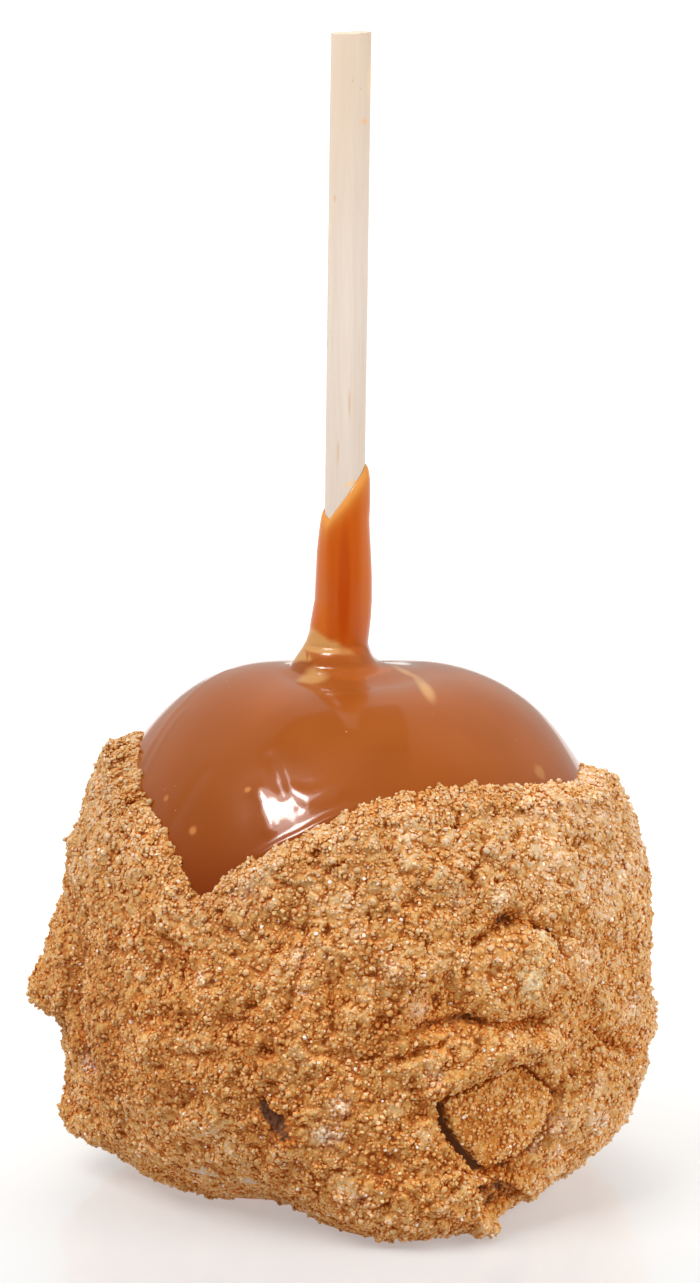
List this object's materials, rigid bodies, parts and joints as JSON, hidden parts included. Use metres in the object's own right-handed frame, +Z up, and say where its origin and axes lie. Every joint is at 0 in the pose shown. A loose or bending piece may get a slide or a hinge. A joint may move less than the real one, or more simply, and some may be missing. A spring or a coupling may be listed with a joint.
{
  "type": "caramel apple",
  "caption": "Caramel apple on a round wooden stick: a glossy caramel dome with a sleeve up the stick, and a thick coat of biscuit crumbs round its sides and base.",
  "frame": {"origin": "on the ground under the middle of the apple, in the flat spot that it stands on", "axes": "+Z up along the stick, -Y towards the front, where the bare caramel reaches lowest, +X to the right seen from the front"},
  "size_m": [0.1015, 0.0973, 0.185],
  "materials": {
    "wood": "bare, matt",
    "caramel": "glossy",
    "crumbs": "grainy, dry",
    "pale_crumbs": "grainy, dry"
  },
  "bodies": {
    "root": {"stick": "wood", "caramel_coated_apple": "caramel", "crumb_coat": "crumbs", "crumb_slab": "crumbs", "crumb_clump": "pale_crumbs"}
  },
  "joints": []
}
